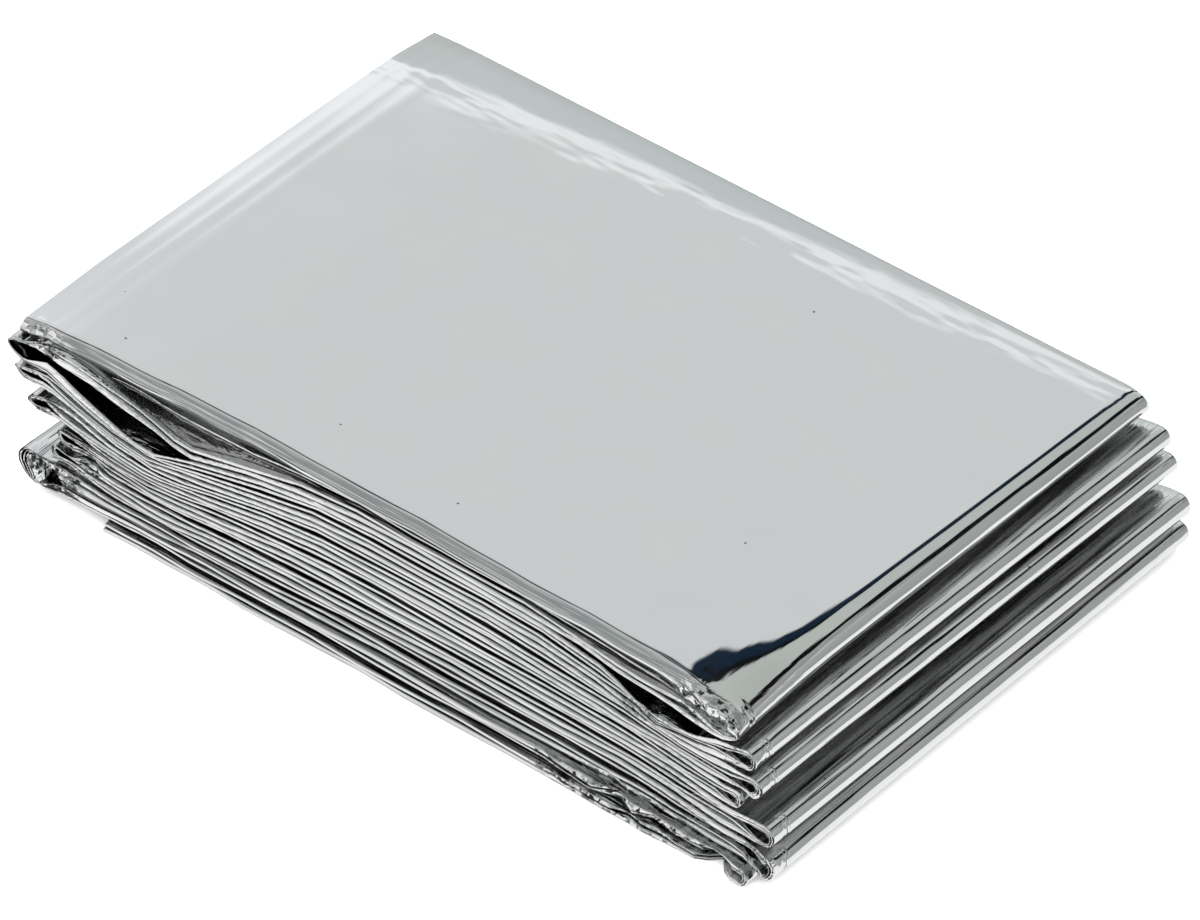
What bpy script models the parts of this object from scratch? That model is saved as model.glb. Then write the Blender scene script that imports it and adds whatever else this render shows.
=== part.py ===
"""Emergency foil blanket, folded to a pocket packet. Metres, +Z up, lying on z = 0.

The blanket is one sheet of metallised film. It is first folded lengthwise to a narrow strip, and
the strip is then folded back and forth, so the packet is a stack of panels with tight round folds
at its right end (+X) and its left end (-X). The film's many plies lie together in each panel, so
one panel is one thick ply here: fluffed up by air in the middle of the packet, and pressed thin
where it turns. Panel 1 is the top face and the last panel lies on the table.

The long front side (-Y) is where the plies' own lengthwise folds show, as two ridges to a panel.
It sags unevenly: the fold between panels 2 and 3 gapes at the left, and panel 3 hangs away from
panel 2 near the right end.
"""

import math

import bmesh
import bpy
import numpy as np

MM = 0.001
WELD = 0.000001
SHARP_ANGLE = np.radians(35)

# The packet, in millimetres. Its origin is the middle of its box, on the table.
STACK_HEIGHT = 26.0
BODY_PLY = 1.5  # a panel's thickness where air fluffs it up
TIP_PLY = 1.0  # and where it turns
PINCHED_STEP = 1.3  # from one panel's middle to the next where the fold between them is shut
PANEL_COUNT = 14

# Where along X the stack changes from its even middle to its uneven ends.
LEFT_TIP_X, LEFT_SHOULDER_X = -62.0, -36.0
RIGHT_SHOULDER_X, RIGHT_TIP_X = 43.0, 59.0

# One row for each panel, from the top: the Y of its front edge at three places along it, and of
# its back edge. The stack widens towards the table.
EDGE_SHARES = (0.0, 0.4, 1.0)
PANEL_EDGES = [
    # front left, front middle, front right, back
    (-42.6, -41.6, -42.0, 42.6),
    (-43.6, -42.3, -42.0, 42.8),
    (-43.8, -42.4, -42.1, 43.0),
    (-43.7, -42.5, -42.2, 43.2),
    (-43.7, -42.7, -42.3, 43.5),
    (-43.7, -42.8, -42.4, 43.8),
    (-43.7, -43.0, -42.5, 44.0),
    (-43.9, -43.1, -42.6, 44.3),
    (-44.0, -43.3, -42.7, 44.6),
    (-44.4, -43.6, -42.8, 44.9),
    (-44.6, -43.9, -43.1, 45.2),
    (-45.2, -44.4, -43.6, 45.6),
    (-45.7, -45.4, -45.0, 46.0),
    (-46.3, -46.0, -45.7, 46.3),
]

# One row for each panel but the last: how far its middle lies above the next one's, at the four
# corners of the stack. A step that ends in a fold is as tall as that fold's hollow.
STEPS = [
    # left front, left back, right front, right back
    (1.45, 1.35, 4.20, 2.50),  # panel 1 turns at the right into 2
    (4.70, 2.85, 1.30, 1.30),  # panel 2 turns at the left into 3, in a gaping fold
    (1.35, 1.35, 2.10, 2.50),
    (1.50, 2.30, 1.30, 1.30),
    (1.30, 1.35, 2.30, 2.50),
    (1.50, 2.30, 1.30, 1.30),
    (1.40, 1.45, 1.90, 1.80),
    (1.50, 2.30, 1.30, 1.30),
    (1.70, 1.35, 2.60, 2.90),
    (1.60, 2.30, 1.30, 1.30),
    (1.40, 1.35, 2.30, 2.60),
    (4.30, 3.40, 1.30, 1.30),  # panel 12 turns at the left into 13, in one fat roll
    (1.30, 1.35, 1.80, 2.40),  # panel 13 turns at the right into the last one
]

# One row for each fold, from the top: how far it reaches along X at the front and at the back,
# and how long its hollow is. A gaping fold is hollow all the way to the middle of the stack.
GAPING = math.inf
RIGHT_FOLDS = [
    (59.5, 60.5, GAPING),
    (61.2, 63.3, 5.0),
    (62.8, 64.4, 5.0),
    (60.8, 62.8, 4.0),
    (66.0, 66.2, 6.5),
    (66.4, 65.8, 6.0),
    (64.5, 63.5, 4.0),
]
LEFT_FOLDS = [
    (-66.4, -65.2, GAPING),
    (-65.6, -65.0, 7.0),
    (-63.0, -64.0, 6.0),
    (-57.8, -63.0, 5.0),
    (-58.5, -62.5, 5.0),
    (-64.1, -63.5, GAPING),
]
# How far the strip's free ends reach, on the top panel and on the last.
FREE_ENDS = {1: (-65.8, -65.2), PANEL_COUNT: (-48.0, -60.0)}

# How far the front edge sags below its even place. A row's depth counts panels from the top, and
# its sags are at the places in SAG_X. SAG_END_Y is where the sags have run out.
SAG_END_Y = -18.0
SAG_X = (-66, -56, -49, -42, -36, -28, -10, 18, 32, 44, 50, 56, 61)
SAGS = [
    # depth, sags
    (0.02, 1.2, 0.2, 0.0, 0.0, 0.0, 0.0, 0.0, 0.0, 0.1, 0.2, 0.3, 0.5, 0.5),
    (0.98, 1.2, 0.4, 0.8, 1.4, 1.7, 1.4, 0.1, 0.0, 0.8, 1.6, 1.7, 1.2, 0.5),
    (1.02, 1.2, 0.5, 1.6, 2.8, 3.8, 2.6, 0.2, 0.0, 1.0, 1.8, 1.8, 1.2, 0.5),
    (1.98, 1.2, 0.3, 1.8, 3.4, 5.4, 3.5, 0.2, 0.0, 1.2, 2.2, 2.0, 1.4, 0.5),
    (2.02, 0.2, 2.4, 5.0, 6.4, 5.4, 3.5, 0.2, 0.0, 1.4, 4.2, 3.9, 1.4, 0.3),
    (4.00, 0.1, 2.2, 4.2, 5.2, 4.4, 2.9, 0.2, 0.0, 1.0, 3.4, 3.1, 1.1, 0.2),
    (6.00, 0.2, 1.9, 3.4, 4.0, 3.3, 2.2, 0.1, 0.0, 0.7, 2.6, 2.4, 0.8, 0.1),
    (9.00, 0.0, 1.5, 2.2, 2.2, 1.8, 1.3, 0.1, 0.0, 0.3, 1.3, 1.2, 0.4, 0.0),
    (11.98, 0.0, 1.2, 1.0, 0.4, 0.2, 0.1, 0.0, 0.0, 0.0, 0.1, 0.1, 0.0, 0.0),
    (12.02, 0.0, 0.0, 0.0, 0.0, 0.0, 0.0, 0.0, 0.0, 0.0, 0.0, 0.0, 0.0, 0.0),
]
# A ply's two faces lie a little inside its panel's share of the depth.
DEPTH_SHARE = 0.96

# Past a crease that runs slantwise along the back edge, the stack slopes down.
CREASE_AT_MIDDLE_Y = 37.6
CREASE_SLANT = 0.065
CREASE_SLOPE = 0.11

# How finely the strip is divided: the stations along a panel as shares of its length, and the
# steps round a fold.
PANEL_STATIONS = (0.0, 0.05, 0.10, 0.16, 0.22, 0.29, 0.42, 0.60, 0.76, 0.84, 0.90, 0.95, 1.0)
FOLD_SPANS = 8

# The ply's outline, seen along the strip: the line that y is measured from, y from it in
# millimetres, and height as a share of the thickness. The front edge has two ridges, where the
# film's lengthwise folds lie one on the other, and the back edge is one round wrap.
PLY_OUTLINE = [
    ("front", 0.30, 0.50),
    ("sag end", 0.0, 0.50),
    ("crease", 0.0, 0.50),
    ("back", -0.50, 0.50),
    ("back", 0.00, 0.00),
    ("back", -0.50, -0.50),
    ("crease", 0.0, -0.50),
    ("sag end", 0.0, -0.50),
    ("front", 0.30, -0.50),
    ("front", 0.00, -0.30),
    ("front", 0.90, -0.02),
    ("front", 0.00, 0.26),
]


def smooth(share):
    """A soft step from 0 to 1."""
    share = np.clip(share, 0.0, 1.0)
    return share * share * (3.0 - 2.0 * share)


def between(pair, t):
    """From the front value (t = 0) to the back value (t = 1)."""
    return pair[0] + (pair[1] - pair[0]) * t


def end_height(panel, side, t):
    """The height of a panel's middle at the right end (side 1) or the left end (side -1)."""
    column = 2 if side > 0 else 0
    return TIP_PLY / 2 + sum(between(step[column : column + 2], t) for step in STEPS[panel - 1 :])


def end_shares(x):
    """How much a place belongs to the stack's left end and to its right end."""
    left = smooth((LEFT_SHOULDER_X - x) / (LEFT_SHOULDER_X - LEFT_TIP_X))
    right = smooth((x - RIGHT_SHOULDER_X) / (RIGHT_TIP_X - RIGHT_SHOULDER_X))
    return left, right


def ply_thickness(x):
    left, right = end_shares(x)
    return BODY_PLY + (TIP_PLY - BODY_PLY) * (left + right)


def upper_panel(panel, side):
    """The upper one of the two panels that a panel's fold at one side joins."""
    return panel if (panel % 2 == 1) == (side > 0) else panel - 1


def fold_row(upper, side):
    return (RIGHT_FOLDS if side > 0 else LEFT_FOLDS)[(upper - 1) // 2]


def turn_centre(upper, t, side):
    """Where along X the fold below a panel is centred."""
    hollow = end_height(upper, side, t) - end_height(upper + 1, side, t)
    return between(fold_row(upper, side), t) - side * (hollow + TIP_PLY) / 2


def height_near_end(panel, x, t, side):
    """The height that a panel's middle comes to near one end of the stack: close to its neighbour
    where their fold is pinched shut, and apart from it round the fold's hollow."""
    own = end_height(panel, side, t)
    if side < 0 and panel in FREE_ENDS:
        return own
    upper = upper_panel(panel, side)
    middle = (end_height(upper, side, t) + end_height(upper + 1, side, t)) / 2
    pinched = middle + (PINCHED_STEP / 2 if panel == upper else -PINCHED_STEP / 2)
    hollow_length = fold_row(upper, side)[2]
    opened = smooth(1.0 + side * (x - turn_centre(upper, t, side)) / hollow_length)
    return between((pinched, own), opened)


def panel_height(panel, x, t):
    """The height of a panel's middle above the table, before its front edge sags."""
    pitch = (STACK_HEIGHT - BODY_PLY) / (PANEL_COUNT - 1)
    body = BODY_PLY / 2 + pitch * (PANEL_COUNT - panel)
    left, right = end_shares(x)
    left_height = height_near_end(panel, x, t, -1)
    right_height = height_near_end(panel, x, t, 1)
    return body + left * (left_height - body) + right * (right_height - body)


def panel_ends(panel, t):
    """The X of a panel's left and right end, where its folds begin."""
    right = turn_centre(upper_panel(panel, 1), t, 1)
    if panel in FREE_ENDS:
        return between(FREE_ENDS[panel], t), right
    return turn_centre(upper_panel(panel, -1), t, -1), right


def strip_edges(depth, along):
    """The Y of the strip's front and back edge. depth counts panels down the stack, from 1, and
    along runs from the left end of a panel (0) to its right end (1)."""
    panels = np.arange(1, PANEL_COUNT + 1)
    *fronts, back = (np.interp(depth, panels, column) for column in zip(*PANEL_EDGES))
    return np.interp(along, EDGE_SHARES, fronts), back


def sag(panel, x, height):
    """How far the front edge of a ply sags, at a height in it."""
    upwards = 1.0 if panel % 2 else -1.0
    depth = panel - 0.5 - upwards * height * DEPTH_SHARE
    sags = [np.interp(x, SAG_X, row[1:]) for row in SAGS]
    return np.interp(depth, [row[0] for row in SAGS], sags)


def strip_stations():
    """The stations along the strip, from its free end on top to its free end below. Columns: the
    panel, how far along it from left to right, and how far round the fold below it."""
    stations = []
    for panel in range(1, PANEL_COUNT + 1):
        rightwards = panel % 2 == 1
        for share in PANEL_STATIONS:
            stations.append((panel, share if rightwards else 1.0 - share, 0.0))
        if panel < PANEL_COUNT:
            for step in range(1, FOLD_SPANS):
                stations.append((panel, 1.0 if rightwards else 0.0, step / FOLD_SPANS))
    return stations


def on_panel(panel, along, height, t):
    """X, Z and the front edge's sag on a panel. height counts from the ply's middle, towards the
    side that faces up on the top panel, as a share of the thickness."""
    left, right = panel_ends(panel, t)
    x = left + (right - left) * along
    upwards = 1.0 if panel % 2 else -1.0
    z = panel_height(panel, x, t) + upwards * height * ply_thickness(x)
    return x, z, sag(panel, x, height)


def on_fold(panel, side, turned, height, t):
    """X, Z and the front edge's sag on the fold below a panel, turned from 0 to 1."""
    centre = turn_centre(panel, t, side)
    above = panel_height(panel, centre, t)
    below = panel_height(panel + 1, centre, t)
    radius = (above - below) / 2 + side * height * ply_thickness(centre)
    angle = np.pi * (0.5 - turned)
    x = centre + side * radius * np.cos(angle)
    z = (above + below) / 2 + radius * np.sin(angle)
    lowered = (1.0 - np.sin(angle)) / 2
    return x, z, between((sag(panel, x, height), sag(panel + 1, x, height)), lowered)


def place(station, line, offset, height):
    """The place of one outline point at one station of the strip, in metres."""
    panel, along, turned = station
    front, back = strip_edges(panel + turned, along)
    crease = CREASE_AT_MIDDLE_Y + CREASE_SLANT * (LEFT_TIP_X + (RIGHT_TIP_X - LEFT_TIP_X) * along)
    y = {"front": front, "sag end": SAG_END_Y, "crease": crease, "back": back}[line] + offset
    t = (y - front) / (back - front)
    if turned:
        x, z, drop = on_fold(panel, 1 if panel % 2 else -1, turned, height, t)
    else:
        x, z, drop = on_panel(panel, along, height, t)
    z -= drop * np.clip((SAG_END_Y - y) / (SAG_END_Y - front), 0.0, 1.0)
    z *= 1.0 - CREASE_SLOPE * max(0.0, y - crease) / STACK_HEIGHT
    return float(x) * MM, float(y) * MM, float(z) * MM


def film_material():
    material = bpy.data.materials.new("silver_film")
    material.use_nodes = True
    shader = material.node_tree.nodes["Principled BSDF"]
    shader.inputs["Base Color"].default_value = (0.80, 0.81, 0.81, 1.0)
    shader.inputs["Metallic"].default_value = 1.0
    shader.inputs["Roughness"].default_value = 0.12
    return material


def make_blanket(collection):
    """The folded sheet: a flat skin with a row for each station and a column for each outline
    point, moved to its folded place, joined along the outline's seam and closed at its two ends."""
    stations = strip_stations()
    rows, columns = len(stations) - 1, len(PLY_OUTLINE)
    skin = bmesh.new()
    bmesh.ops.create_grid(skin, x_segments=rows, y_segments=columns, size=0.5)
    for vertex in skin.verts:
        station = stations[round((vertex.co.x + 0.5) * rows)]
        corner = PLY_OUTLINE[round((vertex.co.y + 0.5) * columns) % columns]
        vertex.co = place(station, *corner)
    bmesh.ops.remove_doubles(skin, verts=skin.verts, dist=WELD)
    bmesh.ops.holes_fill(skin, edges=[edge for edge in skin.edges if edge.is_boundary], sides=0)
    bmesh.ops.recalc_face_normals(skin, faces=skin.faces)

    mesh = bpy.data.meshes.new("blanket")
    skin.to_mesh(mesh)
    skin.free()
    mesh.materials.append(film_material())
    mesh.shade_smooth()
    mesh.set_sharp_from_angle(angle=SHARP_ANGLE)
    blanket = bpy.data.objects.new("blanket", mesh)
    collection.objects.link(blanket)


def main():
    for obj in list(bpy.data.objects):
        bpy.data.objects.remove(obj)
    collection = bpy.data.collections.new("emergency_foil_blanket")
    bpy.context.scene.collection.children.link(collection)
    make_blanket(collection)


main()
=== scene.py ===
"""The looks of the folded emergency foil blanket: one sheet of mirror-bright film, folded as the
real one is. The sheet's width is folded in three and halved three times, which makes a strip of
24 plies, and the strip is folded back and forth in 14 panels. Lengths are in millimetres until the
mesh is made. Panels count from the top, and level 0 is the ply that faces up on the top panel."""

import math
from collections import namedtuple

import bpy
import numpy as np
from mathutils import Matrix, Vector


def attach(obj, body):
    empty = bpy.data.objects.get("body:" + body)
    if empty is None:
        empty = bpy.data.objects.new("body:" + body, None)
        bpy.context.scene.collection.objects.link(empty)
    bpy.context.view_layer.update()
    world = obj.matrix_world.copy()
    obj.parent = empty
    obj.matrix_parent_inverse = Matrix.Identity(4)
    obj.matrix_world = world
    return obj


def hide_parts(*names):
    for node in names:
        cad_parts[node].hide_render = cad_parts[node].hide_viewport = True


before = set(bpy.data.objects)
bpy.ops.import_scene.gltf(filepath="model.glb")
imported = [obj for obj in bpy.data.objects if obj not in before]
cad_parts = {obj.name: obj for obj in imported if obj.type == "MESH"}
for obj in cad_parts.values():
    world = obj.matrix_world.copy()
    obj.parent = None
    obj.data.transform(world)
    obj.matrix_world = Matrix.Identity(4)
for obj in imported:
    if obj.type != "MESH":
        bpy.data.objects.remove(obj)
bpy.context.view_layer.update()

MM = 0.001

# ---- the packet's sizes, as in the CAD

STACK_HEIGHT = 26.0
# How thick a panel is: in the middle of the stack, in the CAD there, and at the stack's ends.
BODY_PLY, FRAME_BODY_PLY, TIP_PLY = 1.72, 1.5, 1.0
# From one panel's middle to the next where the fold that joins them is pinched shut.
PINCHED_STEP = 1.15
PANEL_COUNT = 14
LEFT_TIP_X, LEFT_SHOULDER_X = -62.0, -36.0
RIGHT_SHOULDER_X, RIGHT_TIP_X = 43.0, 59.0

# How far each panel reaches along Y, from the top panel down.
PANEL_EDGES = np.array(
    [
        # front left, front middle, front right, back
        (-42.6, -41.6, -42.0, 42.6),
        (-43.6, -42.3, -42.0, 42.8),
        (-43.8, -42.4, -42.1, 43.0),
        (-43.7, -42.5, -42.2, 43.2),
        (-43.7, -42.7, -42.3, 43.5),
        (-43.7, -42.8, -42.4, 43.8),
        (-43.7, -43.0, -42.5, 44.0),
        (-43.9, -43.1, -42.6, 44.3),
        (-44.0, -43.3, -42.7, 44.6),
        (-44.4, -43.6, -42.8, 44.9),
        (-44.6, -43.9, -43.1, 45.2),
        (-45.2, -44.4, -43.6, 45.6),
        (-45.6, -45.3, -45.0, 46.0),
        (-46.2, -45.9, -45.7, 46.3),
    ]
)

# Where along a panel the front columns of that table stand.
EDGE_SHARES = (0.0, 0.4, 1.0)

# From each panel's middle down to the next one's, at the ends of the stack.
STEPS = np.array(
    [
        # left front, left back, right front, right back
        (1.45, 1.35, 4.20, 2.50),
        (3.95, 2.85, 1.57, 1.90),
        (1.15, 1.35, 2.46, 2.50),
        (1.75, 2.30, 1.67, 1.85),
        (2.30, 1.35, 2.30, 2.30),
        (1.50, 2.30, 1.35, 1.60),
        (1.10, 1.45, 1.90, 1.80),
        (1.50, 2.30, 1.15, 1.30),
        (1.70, 1.35, 2.60, 2.90),
        (1.60, 2.30, 1.15, 1.20),
        (1.40, 1.35, 2.30, 2.60),
        (4.30, 3.40, 1.20, 1.30),
        (1.30, 1.35, 1.15, 1.25),
    ]
)
# The height of every panel's middle at the ends of the stack. Its columns are those of STEPS.
END_HEIGHTS = TIP_PLY / 2 + np.vstack([np.cumsum(STEPS[::-1], axis=0)[::-1], np.zeros(4)])

# A fold at one end of the stack: how far it reaches along X at the front and at the back, how long
# its hollow is, how much further its upper panel reaches than its lower one, and how thick a panel
# is where it turns. A gaping fold is hollow all the way to the middle of the stack.
Fold = namedtuple("Fold", "reach_front reach_back hollow lean ply")
GAPING = math.inf
# Each end's folds, from the top.
RIGHT_FOLDS = [
    Fold(59.5, 60.8, GAPING, 0.0, 1.0),
    Fold(62.4, 64.3, 5.0, 0.0, 1.0),
    Fold(63.6, 65.2, 5.0, 0.0, 1.0),
    Fold(60.5, 62.6, 4.0, 0.0, 1.0),
    Fold(66.1, 66.9, 6.5, 0.0, 1.0),
    Fold(66.5, 66.4, 6.0, 0.0, 1.0),
    Fold(63.7, 63.0, 4.0, 0.0, 1.0),
]
LEFT_FOLDS = [
    Fold(-66.4, -65.2, GAPING, 2.4, 0.3),
    Fold(-65.6, -65.0, 7.0, 0.8, 0.6),
    Fold(-63.0, -64.0, 6.0, 0.6, 0.6),
    Fold(-57.8, -63.0, 5.0, 0.4, 0.6),
    Fold(-58.5, -62.5, 5.0, 0.4, 0.6),
    Fold(-64.1, -63.5, GAPING, 0.6, 0.8),
]
# The sixth fold at the right, below panel 11, hangs down in front of the seventh.
HANGING_FOLD = 11
HANG, HANG_X, HANG_LENGTH = 1.4, 62.2, 2.8
# The panels with a free end at the left: how far it reaches at the front and at the back.
FREE_ENDS = {1: (-65.8, -65.2), PANEL_COUNT: (-48.0, -60.0)}
FREE_END_PLY = 0.65

# The crease along the back of the stack: where it crosses x = 0, how far it slants, how steeply the
# film falls behind it, how softly it starts to, and how much and how slowly that wanders along X.
CREASE_AT_MIDDLE_Y = 37.6
CREASE_SLANT = 0.065
CREASE_SLOPE = 0.11
CREASE_SOFTNESS, CREASE_WANDER, CREASE_STRETCH = 1.7, 0.45, 1.7
# Further than this in front of the crease the film doesn't fall at all.
CREASE_REACH = 12.0

# How far the plies' front edges sag below their even places. depth counts panels from the top.
SAG_X = (-66, -60, -54, -48, -42, -36, -28, -20, -10, 18, 26, 32, 38, 44, 50, 56, 61)
SAGS = [
    # depth, then the sag at each x
    (0.00, 0.6, 0.3, 0.1, 0.0, 0.0, 0.0, 0.0, 0.0, 0.0, 0.0, 0.1, 0.1, 0.2, 0.3, 0.5, 0.6, 0.5),
    (0.10, 0.7, 0.4, 0.1, 0.0, 0.0, 0.1, 0.1, 0.0, 0.0, 0.0, 0.1, 0.2, 0.3, 0.4, 0.7, 0.9, 0.6),
    (0.48, 1.7, 0.9, 1.0, 0.9, 1.6, 2.6, 2.4, 1.4, 0.1, 0.0, 0.4, 0.8, 1.3, 1.7, 2.5, 3.0, 1.4),
    (0.52, 1.7, 0.9, 1.1, 1.5, 3.1, 3.7, 2.9, 1.5, 0.1, 0.0, 0.4, 0.9, 1.4, 1.8, 2.6, 3.1, 1.4),
    (0.97, 1.9, 1.0, 1.2, 2.1, 3.4, 4.6, 3.1, 1.5, 0.2, 0.0, 0.5, 1.0, 1.6, 1.9, 2.7, 3.2, 1.4),
    (1.03, 1.4, 0.5, 0.9, 2.1, 3.4, 5.0, 3.2, 1.6, 0.2, 0.0, 0.5, 1.0, 1.7, 2.0, 1.9, 1.5, 0.6),
    (1.48, 1.4, 0.4, 0.8, 2.1, 3.2, 5.2, 3.4, 1.6, 0.2, 0.0, 0.4, 0.9, 1.9, 2.2, 1.9, 1.6, 0.4),
    (1.52, 1.4, 0.4, 0.8, 2.1, 3.2, 5.5, 3.5, 1.6, 0.2, 0.0, 0.4, 0.9, 1.9, 2.3, 1.9, 1.6, 0.4),
    (1.98, 1.4, 0.2, 0.7, 2.2, 3.0, 5.6, 3.5, 1.6, 0.2, 0.0, 0.4, 1.0, 1.9, 2.3, 1.9, 1.7, 0.4),
    (2.02, 0.0, -0.2, 3.0, 5.7, 7.3, 5.6, 3.5, 1.6, 0.2, 0.0, 0.4, 1.2, 2.4, 5.0, 4.6, 1.4, 0.3),
    (4.00, 0.0, 0.1, 2.2, 4.4, 5.3, 4.4, 2.9, 1.4, 0.2, 0.0, 0.4, 0.9, 1.6, 2.7, 2.4, 0.9, 0.2),
    (6.00, 0.2, 0.4, 1.8, 3.3, 3.9, 3.3, 2.2, 1.1, 0.1, 0.0, 0.3, 0.6, 1.0, 1.4, 1.2, 0.5, 0.1),
    (9.00, 0.0, 0.4, 1.2, 1.9, 2.1, 1.8, 1.2, 0.6, 0.1, 0.0, 0.1, 0.3, 0.4, 0.5, 0.4, 0.2, 0.0),
    (11.0, 0.0, 0.2, 0.9, 1.3, 1.2, 1.0, 0.7, 0.3, 0.0, 0.0, 0.0, 0.1, 0.1, 0.1, 0.1, 0.0, 0.0),
    (12.0, 0.0, 0.8, 1.9, 1.4, 0.7, 0.4, 0.3, 0.1, 0.0, 0.0, 0.0, 0.1, 0.1, 0.1, 0.1, 0.0, 0.0),
    (12.1, 0.0, 0.0, 0.2, 0.2, 0.2, 0.2, 0.1, 0.0, 0.0, 0.0, 0.0, 0.0, 0.0, 0.0, 0.0, 0.0, 0.0),
    (14.0, 0.0, 0.0, 0.0, 0.0, 0.0, 0.0, 0.0, 0.0, 0.0, 0.0, 0.0, 0.0, 0.0, 0.0, 0.0, 0.0, 0.0),
]
# The lowest panels' front edges lie back just before their fold at the right, from NOTCH_TOP down,
# which counts in panels from the top.
NOTCH_X, NOTCH_LENGTH, NOTCH_DEPTH, NOTCH_TOP = 57.9, 2.5, 2.4, 11.8
# The front edge: the groups of plies that fold together there. Columns: the first and the last
# level of a group, how far in it lies, and from where to where it fills its panel's thickness.
EDGE_GROUPS = np.array(
    [
        # first, last, inset, from, to
        (0, 11, 0.0, 0.01, 0.50),
        (12, 17, 0.15, 0.56, 0.89),
        (18, 23, 0.9, 0.93, 0.99),
    ]
)
# On the top panel the first group spreads down to COVER_END near both ends, from these places
# outwards, and covers the others, which are pressed into the rest of the thickness.
COVER_LEFT_X, COVER_RIGHT_X, COVER_LENGTH = -44.0, 44.0, 8.0
COVER_END, COVERED = 0.95, (0.97, 0.99)
# How unevenly the groups stand in along X, and how unevenly they fill the thickness.
EDGE_WANDER, FILL_WANDER = 0.22, 0.05
# How far from a fold's turn a panel's front edge starts to swell into the room around it, and how
# much of that room it takes.
FLUFF_LENGTH, FLUFF_SHARE = 7.0, 0.97
# How much the front edges rise and fall along the packet in long and in short waves, how far the
# long ones are stretched, and how quickly both kinds shift with the depth.
SWELL, RIPPLE = 0.26, 0.09
SWELL_STRETCH = 2.4
SWELL_SHIFT, RIPPLE_SHIFT = 0.4, 0.9

# Uneven waves are two even ones together: how high each is, how long, and how far it shifts from
# one seed to the next.
WANDER_WAVES = [(0.6, 5.1, 2.3), (0.4, 2.2, 4.1)]

# The top film's front edge rolls down by this much, along its first millimetres.
SHOULDER = 0.9
SHOULDER_Y = (0.0, 0.3, 0.8, 1.3, 1.9)
SHOULDER_SHARES = (1.0, 0.76, 0.36, 0.07, 0.0)
# Below it the top panel's front slants inwards, by this much for each millimetre that it sags.
UNDERCUT = 0.52

# Crumpled places: ellipsoids in which the film is moved about.
CRUMPLES = np.array(
    [
        # x, y, z, reach x, reach y, reach z, moved
        (-65.0, -43.5, 18.5, 5.0, 5.0, 2.6, 0.42),
        (-61.5, -43.5, 14.0, 5.0, 5.0, 2.4, 0.40),
        (-54.0, -43.5, 8.5, 7.0, 5.0, 3.4, 0.45),
        (-59.0, -45.0, 4.0, 7.0, 6.0, 4.0, 0.60),
        (-62.0, -43.0, 24.0, 7.0, 4.0, 2.4, 0.25),
        (53.5, -42.0, 23.0, 7.0, 4.0, 3.6, 0.50),
        (44.0, -42.0, 17.0, 5.0, 4.0, 2.2, 0.60),
        (60.0, -42.3, 17.5, 3.6, 3.0, 2.6, 0.30),
        (61.5, -42.4, 12.0, 4.0, 3.0, 4.0, 0.30),
        (64.5, -44.5, 4.5, 4.5, 3.0, 4.5, 0.35),
        (41.0, -45.8, 2.3, 17.0, 5.0, 3.0, 0.90),
    ]
)
CRUMPLE_WAVES = np.array(
    [
        # the wave's direction and its length, once for each axis that it moves points along
        (0.8, 0.5, 0.6, 4.6),
        (0.6, -0.4, 0.9, 3.9),
        (-0.5, 0.6, 0.8, 4.3),
    ]
)
# Up to this height the crumples move the film less up and down, so that it stays on the floor.
CRUMPLE_FLOOR = 2.0

# The top panel dips towards its fold at the right, in two stages. One row for each place along Y:
# where the top film's gentle slope starts, where it steepens, and where the plies below it start.
DIPS = np.array(
    [
        # y, gentle, steep, below
        (-46.0, 55.5, 55.5, 47.0),
        (-42.4, 54.0, 54.5, 47.0),
        (-41.0, 51.2, 53.2, 46.8),
        (-39.5, 50.0, 53.4, 46.6),
        (-37.0, 49.4, 54.8, 46.4),
        (-34.5, 50.3, 55.6, 46.6),
        (-31.2, 53.6, 56.3, 48.0),
        (-27.6, 54.9, 56.8, 50.0),
        (-20.0, 56.0, 57.1, 52.0),
        (-13.0, 56.8, 57.3, 54.0),
        (10.0, 57.5, 57.7, 55.0),
        (44.0, 58.4, 58.6, 57.0),
    ]
)
GENTLE_SLOPE, STEEP_SLOPE = 0.095, 0.15
# How much sooner than the top film the plies below it steepen.
BELOW_SOONER = 1.0
# How softly the slopes start, and how much and how quickly the gentle one's start wanders along Y.
DIP_SOFTNESS, DIP_WANDER, DIP_WANDER_PACE = 0.26, 0.25, 1.9
# How much less the plies at the bottom of the top panel dip than the ones at its top.
DIP_LOSS = 0.35
# The top panel's free end at the left droops, and a few soft folds run along it.
DROOP_X, DROOP_SLOPE, DROOP_SOFTNESS = -58.0, 0.06, 2.0
DROOP_FOLDS = [(-62.9, 0.05), (-60.6, 0.06), (-57.4, 0.03)]
DROOP_FOLD_WIDTH = 0.7
# Two fine grooves round the near end of each fold at the right: their distances from the end.
GROOVES_Y = (1.9, 2.2, 2.5, 2.8, 3.1)
GROOVE_DEPTHS = (0.0, 0.18, 0.0, 0.15, 0.0)
# In the fat roll at the left, the inner plies are tucked inwards, by this many times their radius.
CURLED_FOLD, CURL = 12, 2.3

# ---- how finely the film is divided

# Rows across a panel: how many there are up to each share of its length, from the left.
ROW_SHARES = (0.0, 0.08, 0.25, 0.80, 0.93, 1.0)
TOP_PANEL_ROWS = (11, 13, 14, 13, 11)
INNER_PANEL_ROWS = (6, 7, 7, 5, 5)
# The angles round a fold where the film bends, in degrees from its upper panel.
FOLD_BENDS = (16, 33, 49, 65, 82, 102, 127, 153)
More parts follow.
